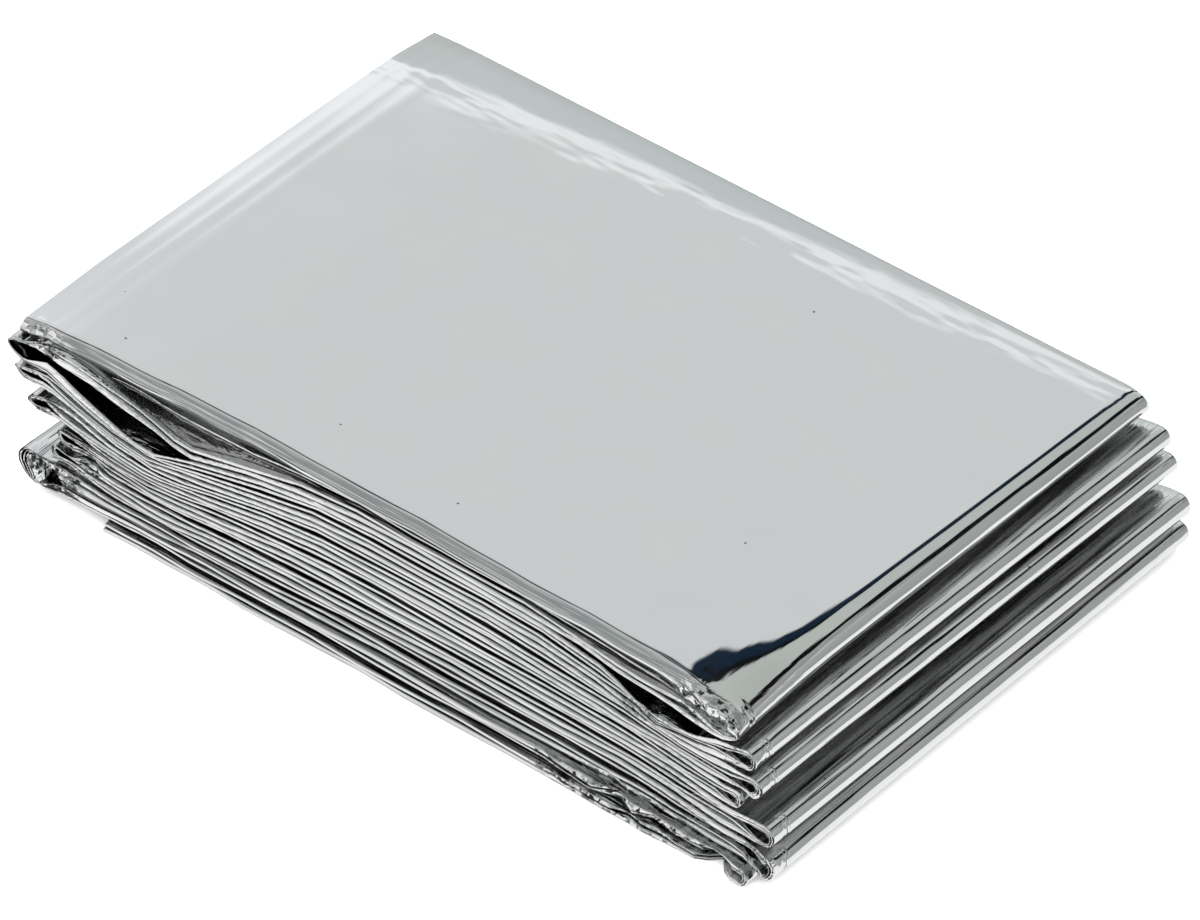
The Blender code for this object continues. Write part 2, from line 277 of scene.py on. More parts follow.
# Columns across the outer ply, in millimetres from its front edge and then as shares of the way to
# its back edge, where the crease is at CREASE_SHARE.
CREASE_SHARE = 0.93
STRIP_WIDTH = 87.0
OUTER_FRONT_COLUMNS = (0.0, 0.3, 0.8, 1.3, 1.9, 2.2, 2.5, 2.8, 3.1, 3.5, 5.22, 9.0, 13.0)
OUTER_BACK_COLUMNS = (0.2, 0.35, 0.6, 0.8, 0.87, 0.89, 0.905, 0.915, 0.923, CREASE_SHARE)
OUTER_CREASED_COLUMNS = (0.94, 0.955, 0.975, 1.0)
INMOST_COLUMNS = (0.0, 0.02, 0.06, 0.2, 0.5, 0.93, 1.0)
HIDDEN_COLUMNS = (0.0, 0.06, 0.2, 0.93, 1.0)
# How much of a movement of the front edge is left at the first columns of a hidden ply.
EDGE_INFLUENCE = (1.0, 0.72, 0.0, 0.0, 0.0)
# The straight pieces that a fold across the width is made of: a fold that shows and is wider than
# NARROW_RADIUS plies, one that shows and is narrower, and one that lies hidden inside another.
WIDE_PIECES, NARROW_PIECES, HIDDEN_PIECES = 8, 2, 1
NARROW_RADIUS = 2
# Faces that meet at more than this angle, in degrees, meet in a sharp edge.
SHARP_ANGLE = 50

# ---- the width's folds

THIRDS = 3
HALVINGS = 3
PLIES = THIRDS * 2**HALVINGS
MIDDLE_LEVEL = (PLIES - 1) / 2
# Only the outer ply, which faces up on the top panel, has a level below this.
OUTER_END = 0.5


def ply_order():
    """For each segment across the sheet's width: its level in the folded strip, and whether it runs
    towards the back (1) or the front (-1). The last halving's fold lies at the back."""
    width = 2**HALVINGS
    order = []
    for segment in range(PLIES):
        layer, column = divmod(segment, width)
        forward = layer % 2 == 0
        if not forward:
            column = width - 1 - column
        level, layers, span = layer, THIRDS, width
        for _ in range(HALVINGS):
            if column >= span // 2:
                column = span - 1 - column
                level = 2 * layers - 1 - level
                forward = not forward
            layers *= 2
            span //= 2
        order.append((PLIES - 1 - level, 1 if forward else -1))
    return order


def ply_columns(level):
    """Where a ply's columns lie, as shares of the way from its front edge to its back edge."""
    if level == 0:
        front = [distance / STRIP_WIDTH for distance in OUTER_FRONT_COLUMNS]
        return front + list(OUTER_BACK_COLUMNS + OUTER_CREASED_COLUMNS)
    return list(INMOST_COLUMNS if level == PLIES - 1 else HIDDEN_COLUMNS)


def fold_pieces(radius, outermost):
    """How many straight pieces a fold across the width is made of."""
    if radius < outermost:
        return HIDDEN_PIECES
    return WIDE_PIECES if radius > NARROW_RADIUS else NARROW_PIECES


def width_stations():
    """The stations across the sheet. Columns: the level, the share of the way from front to back,
    and how far the station lies in from the front and from the back edge, in plies."""
    order = ply_order()
    folds = [
        (direction > 0, (level + after) / 2, abs(level - after) / 2)
        for (level, direction), (after, _) in zip(order, order[1:])
    ]

    def reach(at_back, level):
        """How far the group of folds that a level's edge belongs to stands out, in plies."""
        radii = [
            radius
            for back, middle, radius in folds
            if back == at_back and abs(level - middle) <= radius
        ]
        return max([0.5, *radii])

    stations = []
    for index, (level, direction) in enumerate(order):
        for share in ply_columns(level)[::direction]:
            insets = ((1.0 - share) * reach(False, level), share * reach(True, level))
            stations.append((level, share, *insets))
        if index + 1 < PLIES:
            at_back, middle, radius = folds[index]
            outermost = reach(at_back, level)
            pieces = fold_pieces(radius, outermost)
            toward = 1.0 if level < middle else -1.0
            for bend in range(1, pieces):
                angle = math.pi * bend / pieces
                inwards = outermost - radius * math.sin(angle)
                insets = (0.0, inwards) if at_back else (inwards, 0.0)
                level_there = middle - toward * radius * math.cos(angle)
                stations.append((level_there, float(at_back), *insets))
    return np.array(stations)


def panel_rows(panel):
    """Where a panel's rows lie, as shares of the way from its left end to its right end."""
    counts = TOP_PANEL_ROWS if panel == 1 else INNER_PANEL_ROWS
    rows = [0.0]
    for start, end, count in zip(ROW_SHARES, ROW_SHARES[1:], counts):
        rows += [start + (end - start) * step / count for step in range(1, count + 1)]
    return rows


def strip_stations():
    """The stations along the strip: panel, how far along from left to right, and how far round the
    fold below it."""
    stations = []
    for panel in range(1, PANEL_COUNT + 1):
        rightwards = panel % 2 == 1
        for share in panel_rows(panel)[:: 1 if rightwards else -1]:
            stations.append((panel, share, 0.0))
        if panel < PANEL_COUNT:
            for bend in FOLD_BENDS:
                stations.append((panel, 1.0 if rightwards else 0.0, bend / 180))
    return stations


# ---- where each point of it lies


def smooth(share):
    """From 0 to 1 with a soft start and a soft end."""
    share = np.clip(share, 0.0, 1.0)
    return share * share * (3.0 - 2.0 * share)


def between(low, high, share):
    """From low at share 0 to high at share 1."""
    return low + (high - low) * share


def end_shares(x):
    """How near a place along X is to the stack's left end and to its right end, from 0 to 1."""
    left = smooth((LEFT_SHOULDER_X - x) / (LEFT_SHOULDER_X - LEFT_TIP_X))
    right = smooth((x - RIGHT_SHOULDER_X) / (RIGHT_TIP_X - RIGHT_SHOULDER_X))
    return left, right


def ply_spacing(panel, x):
    """How far apart a panel's plies lie."""
    left, right = end_shares(x)
    upper = upper_panel(panel, -1)
    left_ply = FREE_END_PLY if upper is None else fold_below(upper, -1).ply
    right_ply = fold_below(upper_panel(panel, 1), 1).ply
    thickness = BODY_PLY + (left_ply - BODY_PLY) * left + (right_ply - BODY_PLY) * right
    return thickness / (PLIES - 1)


def wander(x, seed):
    """An uneven wave along X, between -1 and 1, other for each seed."""
    return sum(height * np.sin(x / length + shift * seed) for height, length, shift in WANDER_WAVES)


def edge_group(level):
    """Each level's place in EDGE_GROUPS."""
    return np.digitize(level, [group[0] - 0.5 for group in EDGE_GROUPS[1:]])


def end_columns(side):
    """The columns of STEPS for the right end (side 1) or the left end (side -1)."""
    return (2, 3) if side > 0 else (0, 1)


def fold_below(upper, side):
    """The fold below this panel, at the right end (side 1) or the left end (side -1)."""
    return (RIGHT_FOLDS if side > 0 else LEFT_FOLDS)[(upper - 1) // 2]


def turn_centre(upper, t, side, lowered=0.5):
    """Where along X the fold below a panel is centred, at its top (0) down to its bottom (1)."""
    front, back = end_columns(side)
    fold = fold_below(upper, side)
    height = between(STEPS[upper - 1, front], STEPS[upper - 1, back], t)
    reach = between(fold.reach_front, fold.reach_back, t)
    return reach - side * (height + fold.ply) / 2 + side * fold.lean * (0.5 - lowered)


def upper_panel(panel, side):
    """The upper panel of the fold that a panel runs into, or None at the sheet's end."""
    if side > 0:
        return panel if panel % 2 else panel - 1
    if panel in FREE_ENDS:
        return None
    return panel - 1 if panel % 2 else panel


def end_height(panel, x, t, side):
    """The height that a panel's middle comes to near one end of the stack: close to its neighbour
    where their fold is pinched shut, and apart from it round the fold's hollow."""
    front, back = end_columns(side)
    own = between(END_HEIGHTS[panel - 1, front], END_HEIGHTS[panel - 1, back], t)
    upper = upper_panel(panel, side)
    if upper is None:
        return own
    other = END_HEIGHTS[upper if panel == upper else upper - 1]
    middle = (own + between(other[front], other[back], t)) / 2
    pinched = middle + (PINCHED_STEP / 2 if panel == upper else -PINCHED_STEP / 2)
    return between(pinched, own, opened(upper, x, t, side, fold_below(upper, side).hollow))


def opened(upper, x, t, side, length):
    """How far a fold has opened at x, from 0 to 1 round its turn."""
    return smooth(1.0 + side * (x - turn_centre(upper, t, side)) / length)


def panel_height(panel, x, t):
    """The height of a panel's middle."""
    pitch = (STACK_HEIGHT - FRAME_BODY_PLY) / (PANEL_COUNT - 1)
    body = FRAME_BODY_PLY / 2 + pitch * (PANEL_COUNT - panel)
    left, right = end_shares(x)
    return (
        body
        + left * (end_height(panel, x, t, -1) - body)
        + right * (end_height(panel, x, t, 1) - body)
    )


def fluffed(panel, x, t):
    """How much a panel's front edge swells into the room above and below it: not near its folds."""
    share = np.ones_like(x)
    for side in (-1, 1):
        upper = upper_panel(panel, side)
        if upper is not None:
            length = min(fold_below(upper, side).hollow, FLUFF_LENGTH)
            share = share * (1.0 - opened(upper, x, t, side, length))
    return share


def ply_offset(panel, x, t, out, near):
    """How high a ply lies above its panel's middle. out counts plies upwards from that middle."""
    even = out * ply_spacing(panel, x)
    height = panel_height(panel, x, t)
    room_above = (panel_height(panel - 1, x, t) - height) / 2 if panel > 1 else even.max()
    room_below = (height - panel_height(panel + 1, x, t)) / 2 if panel < PANEL_COUNT else even.max()
    room = np.where(out > 0.0, room_above, room_below) * FLUFF_SHARE
    unswollen = abs(even) * MIDDLE_LEVEL / np.maximum(abs(out), 0.5)
    swollen = out / MIDDLE_LEVEL * np.maximum(room, unswollen)
    if panel in (1, PANEL_COUNT):
        outside = out > 0.0 if panel == 1 else out < 0.0
        swollen = np.where(outside, even, swollen)
    return between(even, swollen, fluffed(panel, x, t) * near)


def softened(past, softness):
    """Nothing before zero, and as much as past it, with a soft start."""
    return (past + np.sqrt(past * past + softness * softness)) / 2


def dip(x, y, level):
    """How far a ply of the top panel dips towards the right, and droops at its free end."""
    gentle, steep, below = (np.interp(y, DIPS[:, 0], column) for column in DIPS.T[1:])
    gentle = gentle + DIP_WANDER * wander(y * DIP_WANDER_PACE, seed=3.0)
    top = level < OUTER_END
    start = np.where(top, gentle, below)
    steepening = np.where(top, steep, steep - BELOW_SOONER)
    right = GENTLE_SLOPE * softened(x - start, DIP_SOFTNESS)
    right = right + STEEP_SLOPE * softened(x - steepening, DIP_SOFTNESS)
    ridges = sum(
        height * np.exp(-(((x - place) / DROOP_FOLD_WIDTH) ** 2)) for place, height in DROOP_FOLDS
    )
    return right + DROOP_SLOPE * softened(DROOP_X - x, DROOP_SOFTNESS) - ridges


def panel_ends(panel, t):
    """Where along X a panel's folds begin, at its left and at its right."""
    ends = []
    for side in (-1, 1):
        upper = upper_panel(panel, side)
        if upper is None:
            ends.append(between(*FREE_ENDS[panel], t))
        else:
            ends.append(turn_centre(upper, t, side, 0.0 if panel == upper else 1.0))
    return ends


def strip_edges(panel, along, turned):
    """Where along Y the strip's front and back edges lie."""
    depth = panel + turned
    panels = np.arange(1, PANEL_COUNT + 1)
    left, middle, right, back = (np.interp(depth, panels, column) for column in PANEL_EDGES.T)
    return np.interp(along, EDGE_SHARES, (left, middle, right)), back


def crease_line(along):
    """Where along Y the crease at the back lies."""
    return CREASE_AT_MIDDLE_Y + CREASE_SLANT * (LEFT_TIP_X + (RIGHT_TIP_X - LEFT_TIP_X) * along)


def sag(x, depth):
    """How far a front edge sags, between the table's rows and columns."""
    rows = np.array([np.interp(x, SAG_X, row[1:]) for row in SAGS])
    depths = np.array([row[0] for row in SAGS])
    below = np.clip(np.searchsorted(depths, depth), 1, len(depths) - 1)
    share = (depth - depths[below - 1]) / (depths[below] - depths[below - 1])
    point = np.arange(len(x))
    return between(rows[below - 1, point], rows[below, point], np.clip(share, 0.0, 1.0))


def ply_depth(panel, level):
    """How deep a ply lies in the stack, in panels."""
    share = (level + 0.5) / PLIES
    return panel - 1 + share if panel % 2 else panel - share


def gather_groups(panel, x, level, weight):
    """How far in each level's front edge lies, and its level once its group has gathered."""
    group = edge_group(level)
    first, last, inset, start, end = EDGE_GROUPS[group].T
    seed = group + 3.0 * panel
    if panel == 1:
        covering = smooth((COVER_LEFT_X - x) / COVER_LENGTH)
        covering = covering + smooth((x - COVER_RIGHT_X) / COVER_LENGTH)
        start = between(start, np.where(first > 0, COVERED[0], start), covering)
        end = between(end, np.where(first > 0, COVERED[1], COVER_END), covering)
    share = (level - first + 0.5) / (last - first + 1.0)
    share = 0.5 + (share - 0.5) * (1.0 + FILL_WANDER * (wander(x, seed + 0.7) - 1.0))
    gathered = between(start, end, share) * PLIES - 0.5
    inwards = inset + EDGE_WANDER * (1.0 + wander(x, seed))
    return inwards * weight, between(level, gathered, weight)


def on_fold(panel, turned, t, level, share):
    """X and Z on the fold below a panel, and how far its front edge sags."""
    side = 1 if panel % 2 else -1
    lowered = (1.0 - math.cos(math.pi * turned)) / 2
    top = turn_centre(panel, t, side, 0.0)
    bottom = turn_centre(panel, t, side, 1.0)
    centre = between(top, bottom, lowered)
    above = panel_height(panel, top, t)
    below = panel_height(panel + 1, bottom, t)
    out = MIDDLE_LEVEL - level
    radius = (above - below) / 2 + side * out * ply_spacing(panel, centre)
    if side > 0:
        groove = np.interp(share * STRIP_WIDTH, GROOVES_Y, GROOVE_DEPTHS)
        radius = radius - groove * (level < OUTER_END)
    across = radius * math.sin(math.pi * turned)
    if panel == CURLED_FOLD:
        across = across * (1.0 - CURL * (1.0 - level / (PLIES - 1)))
    x = centre + side * across
    z = (above + below) / 2 + radius * math.cos(math.pi * turned)
    drop = between(sag(x, ply_depth(panel, level)), sag(x, ply_depth(panel + 1, level)), lowered)
    return x, z, drop


def on_panel(panel, along, t, y, level, near):
    """X, Y and Z on a panel, and how far its front edge sags."""
    left, right = panel_ends(panel, t)
    x = between(left, right, along)
    depth = ply_depth(panel, level)
    inwards, gathered = gather_groups(panel, x, level, near * fluffed(panel, x, t))
    if panel == 1:
        inwards = inwards + UNDERCUT * near * (sag(x, depth) - sag(x, np.zeros_like(depth)))
    notch = NOTCH_DEPTH * smooth(1.0 - abs(x - NOTCH_X) / NOTCH_LENGTH)
    y = y + inwards + notch * near * smooth(depth - NOTCH_TOP)
    upwards = 1.0 if panel % 2 else -1.0
    out = upwards * (MIDDLE_LEVEL - gathered)
    z = panel_height(panel, x, t) + ply_offset(panel, x, t, out, near)
    return x, y, z, sag(x, depth)


def lowered_top(x, y, z, level, share, turned):
    """The top panel's heights once its front edge is rolled down and its ends dip."""
    depth = ply_depth(1, level)
    unturned = 1.0 + math.cos(math.pi * turned)
    outer = np.interp(share * STRIP_WIDTH, SHOULDER_Y, SHOULDER_SHARES)
    inner = np.clip(1.0 - share / HIDDEN_COLUMNS[1], 0.0, 1.0)
    rolled = np.where(level < OUTER_END, outer, inner) * np.clip(1.0 - depth, 0.0, 1.0)
    z = z - SHOULDER * rolled * unturned / 2
    dipping = unturned / 2 * (1.0 - DIP_LOSS * depth)
    return z - dip(x, y, level) * dipping


def fallen_behind(x, past, z):
    """The heights once the film falls behind the crease, which each point lies this far past."""
    softness = CREASE_SOFTNESS * (1.0 + CREASE_WANDER * wander(x / CREASE_STRETCH, seed=5.0))
    sloped = np.where(past > -CREASE_REACH, softened(past, softness), 0.0)
    return z * (1.0 - CREASE_SLOPE * sloped / STACK_HEIGHT)


def triangle_wave(phase):
    """A wave between -1 and 1 with straight flanks."""
    return 4.0 * abs(phase - np.floor(phase + 0.5)) - 1.0


def crumpled(points):
    """The points, moved about in flat facets at the crumpled places."""
    near = np.zeros(len(points))
    for row in CRUMPLES:
        distance = np.linalg.norm((points - row[:3]) / row[3:6], axis=1)
        near = np.maximum(near, row[6] * smooth(1.0 - distance))
    moves = [triangle_wave(points @ wave[:3] / wave[3]) for wave in CRUMPLE_WAVES]
    moves[2] = moves[2] * np.clip(points[:, 2] / CRUMPLE_FLOOR, 0.0, 1.0)
    moved = points + near[:, None] * np.stack(moves, axis=1)
    moved[:, 2] = np.maximum(moved[:, 2], 0.0)
    return moved


def place_row(station, width):
    """The points across the sheet at one station of the strip."""
    panel, along, turned = station
    level, share, front_in, back_in = width.T
    front, back = strip_edges(panel, along, turned)
    crease = crease_line(along)
    spacing = ply_spacing(panel, between(*panel_ends(panel, 0.5), along))
    y = np.where(
        share < CREASE_SHARE,
        between(front, crease, share / CREASE_SHARE),
        between(crease, back, (share - CREASE_SHARE) / (1.0 - CREASE_SHARE)),
    )
    y = y + (front_in - back_in) * spacing
    t = (y - front) / (back - front)
    depth = ply_depth(panel, level)
    near = np.interp(share, HIDDEN_COLUMNS, EDGE_INFLUENCE)
    if turned:
        x, z, drop = on_fold(panel, turned, t, level, share)
    else:
        x, y, z, drop = on_panel(panel, along, t, y, level, near)
    swell = SWELL * wander(x / SWELL_STRETCH, SWELL_SHIFT * depth)
    swell = swell + RIPPLE * wander(x, RIPPLE_SHIFT * depth)
    drop = drop + swell * np.sin(math.pi * depth / PANEL_COUNT) ** 2
    z = z - drop * near
    if panel in (HANGING_FOLD, HANGING_FOLD + 1):
        z = z - HANG * smooth((x - HANG_X) / HANG_LENGTH)
    if panel == 1:
        z = lowered_top(x, y, z, level, share, turned)
    z = fallen_behind(x, y - crease, z)
    return crumpled(np.stack([x, y, z], axis=1))


def make_film(material):
    """The whole sheet as one mesh of quads, row by row along the strip."""
    along = strip_stations()
    across = width_stations()
    points = np.stack([place_row(station, across) for station in along])
    rows, columns = points.shape[:2]
    index = np.arange(rows * columns).reshape(rows, columns)
    faces = np.stack([index[:-1, :-1], index[1:, :-1], index[1:, 1:], index[:-1, 1:]], axis=-1)
    mesh = bpy.data.meshes.new("film")
    mesh.from_pydata((points.reshape(-1, 3) * MM).tolist(), [], faces.reshape(-1, 4).tolist())
    mesh.materials.append(material)
    mesh.shade_smooth()
    mesh.set_sharp_from_angle(angle=math.radians(SHARP_ANGLE))
    film = bpy.data.objects.new("film", mesh)
    bpy.context.scene.collection.objects.link(film)
    return film


# ---- the film's material

# Film that tilts out of the horizontal counts as steep, and this says how soon.
STEEP_POWER = 6.0
# The film's fine wrinkles: how long they are along each axis, where they follow X and where they
# follow Y. Steep film has them everywhere, flat film only up to WRINKLE_TOP, inside the stack.
WRINKLE_ALONG_X = (26.0, 0.8, 0.34)
WRINKLE_ALONG_Y = (0.6, 30.0, 0.6)
WRINKLE_TOP = 23.0
# They follow Y where the film faces along X more than along Y, and this much sooner between the
# folds at the right, which is where x is past RIGHT_FOLDS_X.
RIGHT_FOLDS_X, TURN_SOONER = 52.0, 0.3
# How deep they are, how strong, and how strong on calmer film: on the folds' round ends, which face
# along X by more than END_FACING, and where the film faces down by more than OVERHANG.
WRINKLE_DEPTH, WRINKLE_STRENGTH, CALM_STRENGTH = 0.16, 0.8, 0.3
END_FACING, OVERHANG = 0.25, 0.12
# The crumpled places' facets: how wide the coarse and the fine ones are, how much the fine ones
# count, how deep both are, and how soon inside a crumpled place they are that deep.
FACET_SIZES, FINE_SHARE, FACET_DEPTH, FACET_GAIN = (3.4, 1.5), 0.35, 1.35, 2.5
# Up to this height the facets are this many times as deep.
LOW_Z, LOW_SHARE = 6.0, 2.2
# Small uneven wrinkles along a line CREASE_BEFORE in front of the crease at the back.
CREASE_LENGTHS, CREASE_DEPTH, CREASE_WIDTH, CREASE_BEFORE = (14.0, 5.0, 14.0), 0.26, 4.5, 2.0
# Faint waves all over.
WAVE_LENGTHS, WAVE_DEPTH = (34.0, 22.0, 30.0), 0.12
# The film's roughness and tone vary between two values, in patches about this wide.
MOTTLE_SIZE = 9.0
POLISH_STOPS = [(0.3, 0.02), (0.7, 0.06)]
MOTTLE_TONES = (0.845, 0.855, 0.86), (0.875, 0.88, 0.875)
# How much more the flat film between the folds at the right blurs what it mirrors, in streaks.
STREAK_STOPS = [(0.4, 0.03), (0.58, 0.26)]
# Specks of dust: about how far apart they are, how large for that, and their colour.
SPECK_SPACING, SPECK_SIZE, SPECK_COLOUR = 9.0, 0.022, (0.25, 0.25, 0.25)


def math_node(tree, operation, *inputs):
    """A math node. Its inputs are numbers or other nodes' outputs."""
    node = tree.nodes.new("ShaderNodeMath")
    node.operation = operation
    for socket, value in zip(node.inputs, inputs):
        if isinstance(value, (int, float)):
            socket.default_value = value
        else:
            tree.links.new(value, socket)
    return node.outputs[0]


def ramp_node(tree, factor, stops):
    """A colour ramp through these (position, colour) stops."""
    node = tree.nodes.new("ShaderNodeValToRGB")
    elements = node.color_ramp.elements
    while len(elements) < len(stops):
        elements.new(0.5)
    for element, (position, colour) in zip(elements, stops):
        element.position = position
        element.color = (*colour, 1.0)
    tree.links.new(factor, node.inputs[0])
    return node.outputs[0]


def gray(value):
    """A gray of this brightness."""
    return (value, value, value)


def gray_stops(stops):
    """Ramp stops from (position, brightness)."""
    return [(position, gray(value)) for position, value in stops]


def mix_node(tree, kind, factor, first, second):
    """Two colours mixed. The factor and the colours are values or other nodes' outputs."""
    node = tree.nodes.new("ShaderNodeMix")
    node.data_type = "RGBA"
    node.blend_type = kind
    sockets = (node.inputs[0], node.inputs[6], node.inputs[7])
    for socket, value in zip(sockets, (factor, first, second)):
        if isinstance(value, (int, float)):
            socket.default_value = value
        elif isinstance(value, tuple):
            socket.default_value = (*value, 1.0)
        else:
            tree.links.new(value, socket)
    return node.outputs[2]


def separated(tree, vector):
    """A vector's three parts."""
    node = tree.nodes.new("ShaderNodeSeparateXYZ")
    tree.links.new(vector, node.inputs[0])
    return node.outputs


def scaled(tree, vector, lengths, middle=(0.0, 0.0, 0.0)):
    """The place counted from a middle, in units of these lengths, all in millimetres."""
    node = tree.nodes.new("ShaderNodeMapping")
    node.vector_type = "TEXTURE"
    node.inputs["Location"].default_value = [length * MM for length in middle]
    node.inputs["Scale"].default_value = [length * MM for length in lengths]
    tree.links.new(vector, node.inputs["Vector"])
    return node.outputs[0]


def noise_node(tree, vector, lengths, detail):
    """Noise between 0 and 1 whose features are about this long along each axis, in millimetres."""
    node = tree.nodes.new("ShaderNodeTexNoise")
    node.inputs["Scale"].default_value = 1.0
    node.inputs["Detail"].default_value = detail
    tree.links.new(scaled(tree, vector, lengths), node.inputs["Vector"])
    return node.outputs["Fac"]


def facets_node(tree, vector, size):
    """Flat-sided pits that meet in sharp creases, each about this wide, in millimetres."""
    node = tree.nodes.new("ShaderNodeTexVoronoi")
    node.distance = "CHEBYCHEV"
    node.inputs["Scale"].default_value = 1.0
    tree.links.new(scaled(tree, vector, (size, size, size)), node.inputs["Vector"])
    return node.outputs["Distance"]


def crumple_mask(tree, vector):
    """1 in the middle of each crumpled place, 0 outside them."""
    mask = 0.0
    for row in CRUMPLES:
        distance = tree.nodes.new("ShaderNodeVectorMath")
        distance.operation = "LENGTH"
        tree.links.new(scaled(tree, vector, row[3:6], row[:3]), distance.inputs[0])
        inside = math_node(tree, "SUBTRACT", 1.0, distance.outputs["Value"])
        mask = math_node(tree, "MAXIMUM", inside, mask)
    return math_node(tree, "MINIMUM", math_node(tree, "MULTIPLY", mask, FACET_GAIN), 1.0)


def crease_mask(tree, vector):
    """1 on a line in front of the crease at the back, 0 from CREASE_WIDTH on either side of it."""
    x, y, _ = separated(tree, vector)
    unslanted = math_node(tree, "MULTIPLY_ADD", x, -CREASE_SLANT, y)
    line = (CREASE_AT_MIDDLE_Y - CREASE_BEFORE) * MM
    away = math_node(tree, "ABSOLUTE", math_node(tree, "SUBTRACT", unslanted, line))
    fading = math_node(tree, "MULTIPLY_ADD", away, -1.0 / (CREASE_WIDTH * MM), 1.0)
    return math_node(tree, "MAXIMUM", fading, 0.0)


def bump_node(tree, height, strength, depth, before=None):
    """The normal that a height of this depth in millimetres gives, on top of the one before it."""
    node = tree.nodes.new("ShaderNodeBump")
    node.inputs["Distance"].default_value = depth * MM
    tree.links.new(height, node.inputs["Height"])
    if isinstance(strength, float):
        node.inputs["Strength"].default_value = strength
    else:
        tree.links.new(strength, node.inputs["Strength"])
    if before is not None:
        tree.links.new(before, node.inputs["Normal"])
    return node.outputs[0]


def wrinkles_node(tree, place, along_y, facing, at_right):
    """Wrinkles that follow Y where the film faces along X, and X elsewhere."""
    along_x = noise_node(tree, place, WRINKLE_ALONG_X, detail=2.0)
    sooner = math_node(tree, "MULTIPLY", at_right, TURN_SOONER)
    towards_x = math_node(tree, "ADD", facing[0], sooner)
    sideways = math_node(tree, "GREATER_THAN", towards_x, facing[1])
    return mix_node(tree, "MIX", sideways, along_x, along_y)


def wrinkle_strength(tree, wrinkled, facing, upwards):
    """How strong the wrinkles are: less on the folds' round ends and on overhanging film."""
    round_end = math_node(tree, "GREATER_THAN", facing[0], END_FACING)
    overhanging = math_node(tree, "LESS_THAN", upwards, -OVERHANG)
    calm = math_node(tree, "MAXIMUM", round_end, overhanging)
    calmer = CALM_STRENGTH - WRINKLE_STRENGTH
    calmed = math_node(tree, "MULTIPLY_ADD", calm, calmer, WRINKLE_STRENGTH)
    return math_node(tree, "MULTIPLY", wrinkled, calmed)


def facet_height(tree, place, z):
    """The crumpled film's facets, coarse and fine ones together, deeper near the floor."""
    coarse, fine = (facets_node(tree, place, size) for size in FACET_SIZES)
    facets = math_node(tree, "ADD", coarse, math_node(tree, "MULTIPLY", fine, FINE_SHARE))
    low = math_node(tree, "LESS_THAN", z, LOW_Z * MM)
    deeper = math_node(tree, "MULTIPLY_ADD", low, LOW_SHARE - 1.0, 1.0)
    return math_node(tree, "MULTIPLY", facets, deeper)


def film_colour(tree, place, mottle):
    """The film's tone in patches, and a few specks of dust."""
    grains = tree.nodes.new("ShaderNodeTexVoronoi")
    grains.inputs["Scale"].default_value = 1.0
    tree.links.new(scaled(tree, place, (SPECK_SPACING,) * 3), grains.inputs["Vector"])
    speck = math_node(tree, "LESS_THAN", grains.outputs["Distance"], SPECK_SIZE)
    tone = mix_node(tree, "MIX", mottle, *MOTTLE_TONES)
    return mix_node(tree, "MIX", speck, tone, SPECK_COLOUR)


def film_material():
    """Aluminised film: a mirror with fine drawn-out wrinkles along its folds, crumpled corners,
    faint waves on its flat top, and a few specks of dust."""
    material = bpy.data.materials.new("silver_film")
    material.use_nodes = True
    tree = material.node_tree
    shader = tree.nodes["Principled BSDF"]
    place = tree.nodes.new("ShaderNodeTexCoord").outputs["Object"]
    normal = separated(tree, tree.nodes.new("ShaderNodeNewGeometry").outputs["Normal"])
    facing = [math_node(tree, "ABSOLUTE", part) for part in normal]
    x, _, z = separated(tree, place)
    at_right = math_node(tree, "GREATER_THAN", x, RIGHT_FOLDS_X * MM)
    inside = math_node(tree, "LESS_THAN", z, WRINKLE_TOP * MM)
    flat = math_node(tree, "POWER", facing[2], STEEP_POWER)
    steep = math_node(tree, "SUBTRACT", 1.0, flat)
    along_y = noise_node(tree, place, WRINKLE_ALONG_Y, detail=2.0)

    wrinkles = wrinkles_node(tree, place, along_y, facing, at_right)
    wrinkled = math_node(tree, "MAXIMUM", steep, inside)
    strength = wrinkle_strength(tree, wrinkled, facing, normal[2])
    bumped = bump_node(tree, wrinkles, strength, WRINKLE_DEPTH)
    crumpled_steep = math_node(tree, "MULTIPLY", crumple_mask(tree, place), steep)
    bumped = bump_node(tree, facet_height(tree, place, z), crumpled_steep, FACET_DEPTH, bumped)
    uneven = noise_node(tree, place, CREASE_LENGTHS, detail=2.0)
    bumped = bump_node(tree, uneven, crease_mask(tree, place), CREASE_DEPTH, bumped)
    waves = noise_node(tree, place, WAVE_LENGTHS, detail=1.0)
    bumped = bump_node(tree, waves, 1.0, WAVE_DEPTH, bumped)
    tree.links.new(bumped, shader.inputs["Normal"])

    mottle = noise_node(tree, place, (MOTTLE_SIZE,) * 3, detail=3.0)
    polish = ramp_node(tree, mottle, gray_stops(POLISH_STOPS))
    streaks = ramp_node(tree, along_y, gray_stops(STREAK_STOPS))
    inside_right = math_node(tree, "MULTIPLY", at_right, inside)
    blurred = math_node(tree, "MULTIPLY", inside_right, math_node(tree, "SUBTRACT", 1.0, steep))
    roughness = math_node(tree, "MULTIPLY_ADD", blurred, streaks, polish)
    tree.links.new(roughness, shader.inputs["Roughness"])
    tree.links.new(film_colour(tree, place, mottle), shader.inputs["Base Color"])
    shader.inputs["Metallic"].default_value = 1.0
    return material


# ---- the camera

